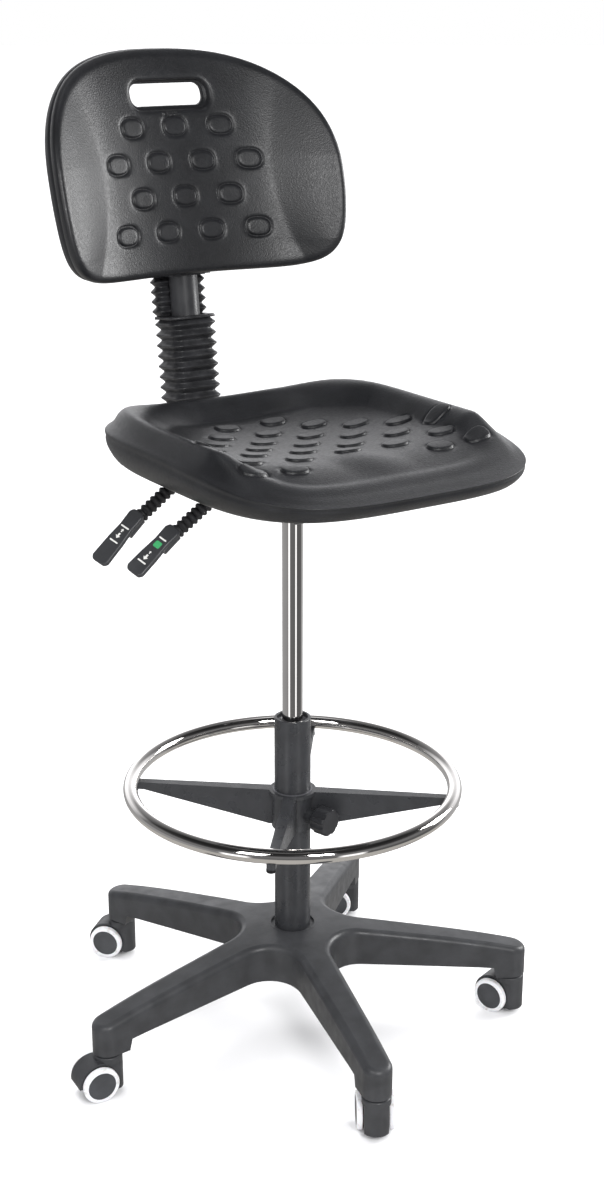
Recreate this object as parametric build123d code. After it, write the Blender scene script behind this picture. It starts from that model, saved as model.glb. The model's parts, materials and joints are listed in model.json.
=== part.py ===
from build123d import *
from math import cos, hypot, pi, radians, sin, tan
import os

# Industrial draughting chair. Millimetres, +Z up, origin on the floor under the column axis.
# The sitter faces -Y, so the backrest is at +Y and the levers are on the sitter's right, -X.

# ---- driving dimensions ----
STEM_CIRCLE_R = 313.0            # caster stems, from the column axis
ARM_ANGLES = [113.1, 185.1, 257.1, 329.1, 41.1]
CASTER_HEADINGS = [131.0, 175.0, 59.0, 109.0, 147.0]
ARM_END_Z = 62.0                 # underside of the arm ends
HUB_TOP_Z, HUB_BOTTOM_Z = 148.0, 78.0

WHEEL_R, WHEEL_W = 25.0, 8.2
TREAD_INNER_R = 19.5
CASTER_TRAIL = 19.0
CASTER_HALF_W = 25.0
HOUSING_HALF_W = 16.0
STEM_R, AXLE_R = 5.5, 3.0
RUN = 0.05                       # radial running clearance

TUBE_R, TUBE_IN_R = 25.0, 21.0
TUBE_BOTTOM_Z, TUBE_TOP_Z = 85.0, 462.0
CYL_R, CYL_IN_R = 14.0, 12.0     # chrome gas cylinder
CYL_BOTTOM_Z, CYL_TOP_Z = 380.0, 790.0
ROD_R = 5.0

RING_R, RING_TUBE_R, RING_Z = 223.0, 10.0, 362.0
SPOKE_ANGLES = [140.0, 230.0, 320.0, 50.0]
SPOKE_TOP_Z = 354.5
COLLAR_R, COLLAR_IN_R, COLLAR_BOTTOM_Z = 29.0, 27.5, 300.0
RIM_R, RIM_H = 32.5, 5.0
KNOB_ANGLE, KNOB_Z, KNOB_R = 287.0, 322.0, 19.0

SEAT_HALF_W, SEAT_FRONT_Y, SEAT_REAR_Y = 222.5, -292.0, 207.0
SEAT_BOTTOM_Z, SEAT_CREASE_Z = 822.0, 855.0

LEVER_Z = 801.0
LEVERS = {"back": (63.0, 35.0, 43.0), "height": (-30.0, 33.7, 38.0)}   # y, rod slope, paddle slope
LEVER_PIVOT_X = -45.0

RAKE_PIVOT = (150.0, 797.0)      # y, z
BAR_LEAN = 7.0
BAR_Y_AT_1000 = 278.8            # centre line of the back column at z = 1000
BACK_BOTTOM_Z, BACK_TOP_Z, BACK_HALF_W = 1030.0, 1323.0, 219.0
BACK_T = 36.0

parts = {}


def add(name, *solids):
    """Keep solids that belong to one node."""
    parts[name] = solids[0] if len(solids) == 1 else Compound(children=list(solids))


def cyl(r, z0, z1, x=0.0, y=0.0):
    return Pos(x, y, z0) * Cylinder(r, z1 - z0, align=(Align.CENTER, Align.CENTER, Align.MIN))


def tube(r_out, r_in, z0, z1):
    return cyl(r_out, z0, z1) - cyl(r_in, z0 - 1, z1 + 1)


def box(x0, x1, y0, y1, z0, z1):
    return Pos((x0 + x1) / 2, (y0 + y1) / 2, (z0 + z1) / 2) * Box(x1 - x0, y1 - y0, z1 - z0)


def rod_x(r, x0, x1, y, z):
    """Round bar along X."""
    return Pos(x0, y, z) * Rot(0, 90, 0) * Cylinder(r, x1 - x0, align=(Align.CENTER, Align.CENTER, Align.MIN))


def polar(r, angle, z=0.0):
    return Pos(r * cos(radians(angle)), r * sin(radians(angle)), z) * Rot(0, 0, angle)


def revolve_profile(points):
    """Solid of revolution about Z from (radius, z) points."""
    wire = Polyline(*[(r, 0, z) for r, z in points], close=True)
    return revolve(make_face(wire), Axis.Z)


def soften(solid, edges, radii):
    """Fillet edges with the largest radius that the solid will take."""
    for r in radii:
        try:
            out = solid.fillet(r, edges)
            if out.is_valid:
                return out
        except Exception:
            continue
    return solid


# ---- five-arm base ----
def star_plan(root_half, end_half, web_r):
    arm = make_face(Polyline((0, root_half), (STEM_CIRCLE_R, end_half), (STEM_CIRCLE_R, -end_half),
                             (0, -root_half), close=True))
    plan = Sketch() + [Rot(0, 0, a) * arm for a in ARM_ANGLES]
    plan += Circle(15)
    inner = [v for v in plan.vertices() if hypot(v.X, v.Y) < 70]
    plan = fillet(inner, web_r)
    return plan + [Rot(0, 0, a) * Pos(STEM_CIRCLE_R, 0) * Circle(end_half) for a in ARM_ANGLES]


def arch_profile(drop, under):
    """Solid of revolution under the arched top line, lowered by drop and closed by the under points."""
    crown = Spline((0, 0, HUB_TOP_Z - drop), (40, 0, 147.6 - drop), (80, 0, 145 - drop), (140, 0, 137.5 - drop),
                   (220, 0, 126 - drop), (290, 0, 114 - drop), (340, 0, 103 - drop),
                   tangents=[(1, 0, 0), (1, 0, -0.24)])
    rest = Polyline((340, 0, 103 - drop), *[(r, 0, z) for r, z in under], (0, 0, HUB_TOP_Z - drop))
    return revolve(make_face([crown] + rest.edges()), Axis.Z)


def make_base():
    body = Pos(0, 0, ARM_END_Z) * extrude(star_plan(25.0, 20.0, 48.0), 90)
    body = body & arch_profile(0, [(340, ARM_END_Z), (291, ARM_END_Z), (287, 78), (265, 80), (80, 92), (0, 96)])
    body = soften(body, [e for e in body.edges() if e.center().Z > 100], [9, 7, 5, 3])
    # hollow underside with cross ribs, leaving the hub and the stem bosses solid
    pocket = Pos(0, 0, ARM_END_Z - 4) * extrude(star_plan(20.5, 15.5, 50.0), 90)
    pocket = pocket & arch_profile(7, [(340, 20), (0, 20)])
    pocket -= cyl(33, 0, 200)
    for a in ARM_ANGLES:
        pocket -= polar(STEM_CIRCLE_R, a) * box(-27, 60, -40, 40, 0, 200)
        for r in (95, 150, 205, 255):
            pocket -= Rot(0, 0, a) * box(r, r + 3, -40, 40, 0, 200)
        pocket -= Rot(0, 0, a) * box(20, 300, -1.5, 1.5, 0, 200)
    body -= pocket
    body += cyl(33, HUB_BOTTOM_Z, HUB_TOP_Z)
    body -= cyl(TUBE_R, 0, 200)
    body -= cyl(30.5, HUB_TOP_Z - 3, 200)
    for a in ARM_ANGLES:
        body -= polar(STEM_CIRCLE_R, a) * cyl(7.0, 0, 92)
    return body


add("star_base", make_base())
add("stem_sockets", *[polar(STEM_CIRCLE_R, a) * tube(7.0, STEM_R + RUN, ARM_END_Z + 0.5, 91) for a in ARM_ANGLES])


# ---- casters ----
def caster_housing():
    hood = Rot(90, 0, 0) * Cylinder(28.5, 2 * HOUSING_HALF_W)
    neck = Pos(-CASTER_TRAIL, 0, 0) * cyl(19.5, -16, 34.5)
    block = Pos(0, 0, WHEEL_R) * (hood + (neck & box(-60, 30, -HOUSING_HALF_W, HOUSING_HALF_W, -16, 40)))
    block += Pos(-CASTER_TRAIL, 0, 0) * cyl(19.5, 50, 59.5)
    block -= box(-80, 80, -40, 40, -20, 8)
    block -= box(8, 80, -40, 40, -20, 22)
    for s in (-1, 1):
        keep = Pos(0, s * (HOUSING_HALF_W + 10), WHEEL_R) * Rot(90, 0, 0) * Cylinder(26.2, 20)
        block -= keep
    block = soften(block, block.edges().group_by(Axis.Z)[-1], [3, 2, 1])
    block -= Pos(0, 0, WHEEL_R) * Rot(90, 0, 0) * Cylinder(AXLE_R, 80)
    block -= Pos(-CASTER_TRAIL, 0, 0) * cyl(STEM_R, 30, 80)
    return block


def caster_pins():
    stem = Pos(-CASTER_TRAIL, 0, 0) * (cyl(STEM_R, 30, 88) + cyl(9, 59.5, 61.8))
    axle = Pos(0, 0, WHEEL_R) * Rot(90, 0, 0) * Cylinder(AXLE_R, 2 * CASTER_HALF_W - 6)
    return stem, axle


def wheel_core(side):
    """Disc with a raised boss and a dished face, on the side given (+1 or -1)."""
    inner, outer = HOUSING_HALF_W + 0.5, CASTER_HALF_W
    disc = Cylinder(TREAD_INNER_R, WHEEL_W, align=(Align.CENTER, Align.CENTER, Align.MAX))
    disc = Pos(0, 0, outer - 0.4) * disc
    disc += Pos(0, 0, inner) * Cylinder(8, 3, align=(Align.CENTER, Align.CENTER, Align.MIN))
    disc -= Pos(0, 0, inner - 1) * Cylinder(AXLE_R + RUN, CASTER_HALF_W - 3 - inner + 1.5,
                                            align=(Align.CENTER, Align.CENTER, Align.MIN))
    return Pos(0, 0, WHEEL_R) * Rot(-90 * side, 0, 0) * disc


def wheel_tread(side):
    outer = CASTER_HALF_W
    ring = Cylinder(WHEEL_R, WHEEL_W, align=(Align.CENTER, Align.CENTER, Align.MAX))
    ring = fillet(ring.edges().filter_by(GeomType.CIRCLE), 2.0)
    ring -= Cylinder(TREAD_INNER_R, 40)
    return Pos(0, 0, WHEEL_R) * Rot(-90 * side, 0, 0) * Pos(0, 0, outer) * ring


for n, (arm, heading) in enumerate(zip(ARM_ANGLES, CASTER_HEADINGS), start=1):
    place = Pos(STEM_CIRCLE_R * cos(radians(arm)), STEM_CIRCLE_R * sin(radians(arm)), 0) \
        * Rot(0, 0, heading) * Pos(CASTER_TRAIL, 0, 0)
    add(f"caster_{n}_housing", place * caster_housing())
    add(f"caster_{n}_pins", *[place * p for p in caster_pins()])
    for side, word in ((1, "left"), (-1, "right")):
        add(f"caster_{n}_wheel_{word}", place * wheel_core(side))
        add(f"caster_{n}_tread_{word}", place * wheel_tread(side))

# ---- column and gas spring ----
column = tube(TUBE_R, TUBE_IN_R, TUBE_BOTTOM_Z, TUBE_TOP_Z) + cyl(TUBE_R, TUBE_BOTTOM_Z, TUBE_BOTTOM_Z + 4)
column -= cyl(ROD_R + 0.3, 0, 120)
add("column_tube", fillet(column.edges().group_by(Axis.Z)[-1], 1.2))
bush = tube(TUBE_IN_R, CYL_R + RUN, TUBE_TOP_Z - 88, TUBE_TOP_Z - 6)
bush -= revolve_profile([(CYL_R - 1, TUBE_TOP_Z - 11), (CYL_R + 1, TUBE_TOP_Z - 11), (19.5, TUBE_TOP_Z - 5),
                         (CYL_R - 1, TUBE_TOP_Z - 5)])
add("guide_bush", bush)
bearing_z = TUBE_BOTTOM_Z + 4
add("thrust_bearing", tube(12, ROD_R + 0.3, bearing_z, bearing_z + 8))
rod = cyl(ROD_R, 74, 398) + cyl(8, bearing_z + 8.05, bearing_z + 12) + cyl(CYL_IN_R - RUN, 390, 400)
clip = tube(8.5, ROD_R, 79, 81.5)
add("piston_rod", rod, clip)
cylinder = cyl(CYL_R, CYL_BOTTOM_Z, CYL_TOP_Z) - cyl(CYL_IN_R, CYL_BOTTOM_Z + 6, 680)
cylinder -= cyl(ROD_R + RUN, CYL_BOTTOM_Z - 1, 690)
cylinder -= cyl(4.0, 760, 800)
add("gas_cylinder", chamfer(cylinder.edges().filter_by(GeomType.CIRCLE).group_by(Axis.Z)[0].sort_by(
    SortBy.LENGTH)[-1:], 1.0))
add("valve_pin", fillet(cyl(3.95, 766.5, 797).edges().group_by(Axis.Z)[-1], 1.0))


# ---- foot ring ----
ring = Pos(0, 0, RING_Z) * Torus(RING_R, RING_TUBE_R)
add("foot_ring", ring)


def spoke():
    """Channel section: a flat top flange over two side webs that taper to the ring."""
    half_in, half_out, end_r = 9.0, 6.0, 228.5
    plan = make_face(Polyline((20, -half_in), (end_r, -half_out), (end_r, half_out), (20, half_in), close=True))
    plan = fillet([v for v in plan.vertices() if v.X > 100], 5)
    side = make_face(Polyline((20, 0, SPOKE_TOP_Z), (end_r, 0, SPOKE_TOP_Z), (end_r, 0, 344),
                              (208, 0, 344), (32, 0, 303.5), (20, 0, 303.5), close=True))
    solid = extrude(Pos(0, 0, 290) * plan, 80) & extrude(side, 20, both=True)
    inner_plan = make_face(Polyline((20, -half_in + 2.5), (206, -half_out + 2.3), (206, half_out - 2.3),
                                    (20, half_in - 2.5), close=True))
    return solid - extrude(Pos(0, 0, 290) * inner_plan, SPOKE_TOP_Z - 290 - 3)


collar = tube(COLLAR_R, COLLAR_IN_R, COLLAR_BOTTOM_Z, SPOKE_TOP_Z)
collar += tube(RIM_R, COLLAR_IN_R, SPOKE_TOP_Z - RIM_H, SPOKE_TOP_Z)
spider = collar
for a in SPOKE_ANGLES:
    spider += Rot(0, 0, a) * spoke()
spider += polar(0, KNOB_ANGLE) * rod_x(9.5, 20, 40, 0, KNOB_Z)
spider -= cyl(COLLAR_IN_R, 200, 500)
spider -= ring
spider -= polar(0, KNOB_ANGLE) * rod_x(4.0 + RUN, 10, 60, 0, KNOB_Z)
for a in SPOKE_ANGLES:
    spider -= polar(RING_R, a) * cyl(2.5, 300, 360)
add("foot_ring_spider", spider)

screw = fillet(cyl(6.5, 339.5, 344).edges().group_by(Axis.Z)[0], 2.0) + cyl(2.5, 344, RING_Z - RING_TUBE_R)
add("spider_screws", *[polar(RING_R, a) * screw for a in SPOKE_ANGLES])
liner = tube(COLLAR_IN_R - 0.02, TUBE_R + RUN, COLLAR_BOTTOM_Z + 2, SPOKE_TOP_Z + 0.8)
liner -= tube(COLLAR_IN_R + 1, TUBE_R - 1, KNOB_Z - 7, KNOB_Z + 7)
upper, lower = liner.solids().sort_by(Axis.Z)[-1], liner.solids().sort_by(Axis.Z)[0]
add("collar_liner", upper, lower)
pad_disc = rod_x(3.9, TUBE_R - 2, 29.0, 0, KNOB_Z) - cyl(TUBE_R + 0.1, 200, 500)
add("clamp_pad", polar(0, KNOB_ANGLE) * pad_disc)
knob = rod_x(4.0, 29.0, 46, 0, KNOB_Z) + rod_x(9.0, 40.6, 46.5, 0, KNOB_Z)
grip = rod_x(KNOB_R, 45.5, 68, 0, KNOB_Z)
grip = fillet(grip.edges().filter_by(GeomType.CIRCLE), 2.5)
for k in range(8):
    flute = Pos(0, (KNOB_R + 3.2) * cos(k * pi / 4), KNOB_Z + (KNOB_R + 3.2) * sin(k * pi / 4))
    grip -= flute * Rot(0, 90, 0) * Pos(0, 0, 30) * Cylinder(6.0, 60, align=(Align.CENTER, Align.CENTER, Align.MIN))
add("clamp_knob", polar(0, KNOB_ANGLE) * (knob + grip))

# ---- seat mechanism ----
MECH_X, MECH_Y0, MECH_Y1, MECH_Z0 = 62.0, -100.0, 168.0, 766.0
shell = box(-MECH_X, MECH_X, MECH_Y0, MECH_Y1, MECH_Z0, SEAT_BOTTOM_Z)
shell = soften(shell, shell.edges().filter_by(Axis.Z) + shell.edges().group_by(Axis.Z)[0], [6, 4])
shell -= box(-MECH_X + 3, MECH_X - 3, MECH_Y0 + 3, MECH_Y1 + 20, MECH_Z0 + 3, SEAT_BOTTOM_Z - 4)
shell += box(-100, 100, -95, -65, SEAT_BOTTOM_Z - 4, SEAT_BOTTOM_Z)
shell += box(-100, 100, 75, 105, SEAT_BOTTOM_Z - 4, SEAT_BOTTOM_Z)
shell += cyl(24, MECH_Z0 - 6, MECH_Z0 + 22)
shell -= cyl(CYL_R, 700, 795)
PIVOT_Y, PIVOT_Z = RAKE_PIVOT
shell -= rod_x(5.0, -90, 90, PIVOT_Y, PIVOT_Z)
SEAT_BOLTS = [(x, y) for x in (-88, 88) for y in (-80, 90)]
for x, y in SEAT_BOLTS:
    shell -= cyl(4.0, 800, 840, x, y)
for y, _, _ in LEVERS.values():
    shell -= rod_x(8.0, -90, -50, y, LEVER_Z)
    shell -= box(-90, -50, y - 8, y + 8, LEVER_Z, LEVER_Z + 9)
    shell += box(LEVER_PIVOT_X - 8, LEVER_PIVOT_X + 8, y - 17, y - 11, MECH_Z0 + 2, SEAT_BOTTOM_Z - 3)
    shell += box(LEVER_PIVOT_X - 8, LEVER_PIVOT_X + 8, y + 11, y + 17, MECH_Z0 + 2, SEAT_BOTTOM_Z - 3)
    shell -= Pos(LEVER_PIVOT_X, y, LEVER_Z) * Rot(90, 0, 0) * Cylinder(3.0 + RUN, 50)
add("mechanism_housing", shell)
bolt = cyl(4.0, SEAT_BOTTOM_Z - 4, SEAT_BOTTOM_Z + 16) + Pos(0, 0, SEAT_BOTTOM_Z - 9.5) * extrude(
    RegularPolygon(7.5, 6), 5.5)
add("seat_bolts", *[Pos(x, y, 0) * bolt for x, y in SEAT_BOLTS])
add("back_pivot_pin", rod_x(5.0, -66, 66, PIVOT_Y, PIVOT_Z) + rod_x(8.0, -68, -MECH_X, PIVOT_Y, PIVOT_Z)
    + rod_x(8.0, MECH_X, 68, PIVOT_Y, PIVOT_Z))


# ---- levers ----
def lever(y, rod_slope, paddle_slope, arm_in):
    """Rod, ribbed sleeve and paddle of one lever. The rod runs out along -X, then bends down."""
    bend_x, sleeve_x, paddle_x, end_x = -133.0, -139.0, -193.0, -247.0
    t = tan(radians(rod_slope))
    path = FilletPolyline((LEVER_PIVOT_X, y, LEVER_Z), (bend_x, y, LEVER_Z),
                          (paddle_x - 16, y, LEVER_Z - t * (bend_x - paddle_x + 16)), radius=12)
    wire = sweep(Plane(path @ 0, z_dir=path % 0) * Circle(4.0), path)
    wire += Pos(LEVER_PIVOT_X, y, LEVER_Z) * Rot(90, 0, 0) * Cylinder(8.0, 20)
    wire += Pos(LEVER_PIVOT_X, y, LEVER_Z) * Rot(90, 0, 0) * Cylinder(3.0, 32)
    wire += box(LEVER_PIVOT_X, arm_in, y - 6, y + 6, LEVER_Z - 3.5, LEVER_Z + 3.5)
    # frame along the sloping part: local +X runs outward down the rod
    start = Pos(bend_x, y, LEVER_Z) * Rot(0, 180 - rod_slope, 0)
    ratio = 1 / cos(radians(rod_slope))
    s0, s1 = (bend_x - sleeve_x) * ratio, (bend_x - paddle_x) * ratio
    ribs = 8
    pitch = (s1 - s0) / ribs
    outline = [(s0, 4.05)]
    for k in range(ribs):
        outline += [(s0 + k * pitch, 7.0), (s0 + (k + 0.30) * pitch, 9.4), (s0 + (k + 0.55) * pitch, 9.4),
                    (s0 + (k + 0.85) * pitch, 7.0)]
    outline += [(s1, 7.0), (s1, 4.05)]
    sleeve = revolve(make_face(Polyline(*[(a, b, 0) for a, b in outline], close=True)), Axis.X)
    sleeve = start * sleeve
    # paddle: flat blade that widens to a rounded end, on a round socket
    length = (paddle_x - end_x) / cos(radians(paddle_slope)) + 6
    tip = Pos(paddle_x, y, LEVER_Z - t * (bend_x - paddle_x)) * Rot(0, 180 - paddle_slope, 0)
    edge = [(-4, 8), (2, 11.5), (22, 10.5), (44, 12.5), (length - 5, 13.5), (length, 9.5)]
    blade_line = Polyline(*edge, *[(a, -b) for a, b in reversed(edge)], close=True)
    blade = extrude(make_face(blade_line), 7)
    blade = soften(blade, blade.edges().filter_by(lambda e: abs(e.tangent_at(0.5).Z) > 0.9), [5, 4, 3, 2])
    blade = soften(blade, blade.edges().group_by(Axis.Z)[-1] + blade.edges().group_by(Axis.Z)[0], [2, 1.5, 1])
    socket = Pos(0.5, 0, 0) * Rot(0, 90, 0) * Cylinder(9.5, 27, align=(Align.CENTER, Align.CENTER, Align.MIN))
    paddle = tip * Rot(-25, 0, 0) * (Pos(0, 0, -11.5) * blade + socket)
    return wire, sleeve, paddle - wire - sleeve


for name, (y, rod_slope, paddle_slope) in LEVERS.items():
    wire, sleeve, paddle = lever(y, rod_slope, paddle_slope, 6.0 if name == "height" else -10.0)
    if name == "height":
        finger = box(-12, 6, y, 6, LEVER_Z - 3.5, LEVER_Z + 3.5)
        wire += finger
    add(f"{name}_lever", wire)
    add(f"{name}_lever_sleeve", sleeve)
    add(f"{name}_lever_paddle", paddle)

# ---- back column ----
LEAN = tan(radians(BAR_LEAN))


def back_frame(z):
    """Plane frame on the back column: local Z up the lean, local Y backwards, origin at height z."""
    return Pos(0, BAR_Y_AT_1000 + LEAN * (z - 1000.0), z) * Rot(-BAR_LEAN, 0, 0)


BAR_N = 14.0                     # bar centre behind the column centre line
path_z0, path_z1 = 835.0, 1150.0
upright = back_frame(1000) * box(-20, 20, BAR_N - 4, BAR_N + 4, (path_z0 - 1000), (path_z1 - 1000))
foot_y = BAR_Y_AT_1000 + LEAN * (path_z0 - 1000) + BAR_N
bar = upright + box(-20, 20, PIVOT_Y - 10, foot_y - 20, PIVOT_Z - 4, PIVOT_Z + 4)
elbow = make_face(Polyline((0, foot_y - 30, PIVOT_Z + 4), (0, foot_y - 30, PIVOT_Z - 4), (0, foot_y - 2, PIVOT_Z - 4),
                           (0, foot_y + 6.5, PIVOT_Z + 7), (0, foot_y + 6.5, path_z0 + 6), (0, foot_y - 2.0, path_z0 + 6),
                           (0, foot_y - 4.0, PIVOT_Z + 12), (0, foot_y - 10, PIVOT_Z + 4), close=True))
bar += extrude(elbow, 20, both=True)
bar += rod_x(11, -20, 20, PIVOT_Y, PIVOT_Z)
bar -= rod_x(5.0 + RUN, -30, 30, PIVOT_Y, PIVOT_Z)
add("back_bar", bar)


def octagon(w, d, corner, at_y, z):
    """Rectangle with cut corners, w across X and d across Y."""
    a, b = w / 2, d / 2
    pts = [(-a + corner, -b), (a - corner, -b), (a, -b + corner), (a, b - corner), (a - corner, b),
           (-a + corner, b), (-a, b - corner), (-a, -b + corner)]
    return Polyline(*[(x, at_y + yy, z) for x, yy in pts], close=True)


def bellows(w, d, depth, wall, at_y, z0, teeth, pitch, corner):
    """Ruled accordion tube along local Z, hollow right through."""
    def stack(shrink):
        wires = []
        for k in range(2 * teeth + 1):
            cut = 2 * depth if k % 2 == 0 else 0.0
            wires.append(octagon(w - cut - shrink, d - cut - shrink, corner * (1 if k % 2 else 0.7), at_y,
                                 z0 + k * pitch / 2))
        return Solid.make_loft([p.wire() if hasattr(p, "wire") else p for p in wires], ruled=True)
    return stack(0.0) - stack(2 * wall)


LOW_Z0, LOW_Z1 = 836.0, 970.0
low_teeth, up_teeth = 9, 4
low_pitch = (LOW_Z1 - LOW_Z0 - 4) / low_teeth / cos(radians(BAR_LEAN))
lower = bellows(66, 60, 6, 1.5, 0, 0, low_teeth, low_pitch, 9)
low_top = low_teeth * low_pitch
cap = Pos(0, 0, low_top) * extrude(make_face(octagon(66, 60, 9, 0, 0)), 4)
cap = soften(cap, cap.edges().group_by(Axis.Z)[-1], [1.5, 1])
cap -= box(-20.5, 20.5, BAR_N - 4.5, BAR_N + 4.5, low_top - 5, low_top + 10)
SLEEVE_R, SLEEVE_N = 21.0, 0.0
sleeve_hole = cyl(SLEEVE_R + 0.6, -400, 400) & box(-40, 40, -60, SLEEVE_N + 0.4, -400, 400)
cap -= sleeve_hole
add("lower_bellows", back_frame(LOW_Z0) * (lower + cap))

SHELF_Z0 = 1024.0
up_z0 = LOW_Z1 + 0.3
up_len = (SHELF_Z0 - 0.3 - up_z0) / cos(radians(BAR_LEAN))
upper_b = bellows(66, 26, 6, 1.5, BAR_N, 0, up_teeth, up_len / up_teeth, 5)
add("upper_bellows", back_frame(up_z0) * upper_b)


# ---- backrest ----
def back_y(x, z):
    """Front surface of the backrest: leans back more towards the top and curves round the sitter."""
    v = z - BACK_BOTTOM_Z
    wing = max(0.0, min(1.0, (abs(x) - 110.0) / 120.0))
    return 245.0 + 0.16 * v + 0.00045 * v * v - 0.00125 * x * x - 8.0 * wing * wing * (3 - 2 * wing)


def back_outline(inset):
    """Rounded outline in X and Z: nearly straight bottom, broad arched top."""
    v_mid, n_up, n_down = 129.0, 2.55, 6.6
    v_up = BACK_TOP_Z - BACK_BOTTOM_Z - v_mid
    pts = []
    for k in range(72):
        t = 2 * pi * k / 72
        c, s = cos(t), sin(t)
        if s >= 0:
            x = abs(c) ** (2 / n_up) * (BACK_HALF_W - inset)
            v = v_mid + abs(s) ** (2 / n_up) * (v_up - inset)
        else:
            down = abs(s) ** (2 / n_down)
            x = abs(c) ** (2 / n_down) * (BACK_HALF_W - inset - 18.0 * down ** 2)
            v = v_mid - down * (v_mid - inset)
        pts.append((x if c >= 0 else -x, 0.0, BACK_BOTTOM_Z + v))
    return make_face(Spline(*pts, periodic=True))


def surface_grid(fn, us, vs, make_point):
    return Face.make_surface_from_array_of_points([[make_point(u, v, fn(u, v)) for v in vs] for u in us],
                                                  min_deg=3, max_deg=5)


def make_back_pad():
    xs = [-250 + 25 * k for k in range(21)]
    zs = [1010 + 20 * k for k in range(18)]
    front = surface_grid(back_y, xs, zs, lambda x, z, y: Vector(x, y, z))
    slab = Solid.extrude(front, Vector(0, BACK_T, 0))
    pad = slab & extrude(Pos(0, 120, 0) * back_outline(0.0), amount=280, dir=(0, 1, 0))
    rim = [e for e in pad.edges() if e.length > 120]
    pad = soften(pad, rim, [11, 9, 7, 5, 3])
    hole = Pos(0, 300, BACK_BOTTOM_Z + 234) * Rot(90, 0, 0) * extrude(RectangleRounded(108, 31, 13), 120, both=True)
    pad -= hole
    return pad


back_pad = make_back_pad()
housing = box(-46, 46, 0, 25, SHELF_Z0 - 1000, 180)
housing = soften(housing, housing.edges().group_by(Axis.Y)[-1], [6, 4, 2])
housing += cyl(SLEEVE_R, -110, SHELF_Z0 - 1000) & box(-40, 40, -60, SLEEVE_N, -120, 60)
housing += box(-26, 26, -20, 1, SHELF_Z0 - 1000, 28.5)
housing -= box(-20.6, 20.6, BAR_N - 4.6, BAR_N + 4.6, -120, path_z1 - 1000 + 25)
carrier = back_frame(1000) * housing
carrier_block = back_frame(1000) * box(-46, 46, 0, 25, 28.5, 180)
SCREWS = [(x, z) for x in (-34, 34) for z in (1075.0, 1150.0)]
for x, z in SCREWS:
    here = back_frame(z) * Pos(x, 0, 0) * Rot(90, 0, 0)
    carrier -= here * Cylinder(3.0, 120)
    carrier -= here * Pos(0, 0, -25) * Cylinder(6.0, 8)
    back_pad -= here * Cylinder(3.0, 20)
back_pad -= carrier_block
carrier -= back_pad
carrier = max(carrier.solids(), key=lambda s: s.volume)
add("back_pad", max(back_pad.solids(), key=lambda s: s.volume))
add("back_carrier", carrier)
screw_solid = Pos(0, 0, -21) * Cylinder(3.0, 30, align=(Align.CENTER, Align.CENTER, Align.MIN)) \
    + Pos(0, 0, -25) * Cylinder(5.5, 4, align=(Align.CENTER, Align.CENTER, Align.MIN))
add("back_screws", *[back_frame(z) * Pos(x, 0, 0) * Rot(90, 0, 0) * screw_solid for x, z in SCREWS])


# ---- seat pad ----
def seat_top(x, y):
    """Dished top: raised rear and side rims, two thigh channels and a waterfall front."""
    u = x / SEAT_HALF_W
    v = (y - SEAT_FRONT_Y) / (SEAT_REAR_Y - SEAT_FRONT_Y)       # 0 front, 1 rear
    rear = max(0.0, (v - 0.70) / 0.30)
    side = max(0.0, (abs(u) - 0.62) / 0.38)
    front = max(0.0, 1.0 - v / 0.30)
    z = 853.0 + 39.0 * rear ** 2 * (1 - 0.25 * rear)
    z += 30.0 * side ** 2 * min(1.0, 0.25 + 1.3 * v)
    z += 8.0 * max(0.0, 1 - (u / 0.22) ** 2) ** 2 * max(0.0, 1 - v / 0.55) * min(1.0, v / 0.12)
    return z + 4.0 * min(1.0, v / 0.3) * (1 - min(1.0, v / 0.3)) - 4.0 * front ** 2


def seat_outline(inset, z):
    n = 3.6
    yc, hy = (SEAT_FRONT_Y + SEAT_REAR_Y) / 2, (SEAT_REAR_Y - SEAT_FRONT_Y) / 2
    pts = []
    for k in range(64):
        t = 2 * pi * (k + 0.5) / 64
        c, s = cos(t), sin(t)
        x = (SEAT_HALF_W - inset) * abs(c) ** (2 / n) * (1 if c >= 0 else -1)
        y = yc + (hy - inset) * abs(s) ** (2 / n) * (1 if s >= 0 else -1)
        pts.append((x, y, z))
    return Wire([Spline(*pts, periodic=True)])


def make_seat_pad():
    rings = [(14, SEAT_BOTTOM_Z), (6, 828), (1.5, 843), (0, SEAT_CREASE_Z), (2.5, 868), (9, 880), (16, 889)]
    body = Solid.make_loft([seat_outline(i, z) for i, z in rings], ruled=True)
    xs = [-250 + 20 * k for k in range(26)]
    ys = [-310 + 20 * k for k in range(28)]
    top = surface_grid(seat_top, xs, ys, lambda x, y, z: Vector(x, y, z))
    body -= Solid.extrude(top, Vector(0, 0, 80))
    for x, y in SEAT_BOLTS:
        body -= cyl(4.0, SEAT_BOTTOM_Z - 1, SEAT_BOTTOM_Z + 16, x, y)
    return body


seat_pad = make_seat_pad()
add("seat_pad", max(seat_pad.solids(), key=lambda s: s.volume))

os.makedirs("parts", exist_ok=True)
for name, solid in parts.items():
    export_step(solid, f"parts/{name}.step")
print(len(parts), "nodes")
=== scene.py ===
import json
from math import cos, pi, radians, sin, tan

import bmesh
import bpy
import numpy as np
from mathutils import Matrix, Vector
from mathutils.geometry import delaunay_2d_cdt


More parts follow.
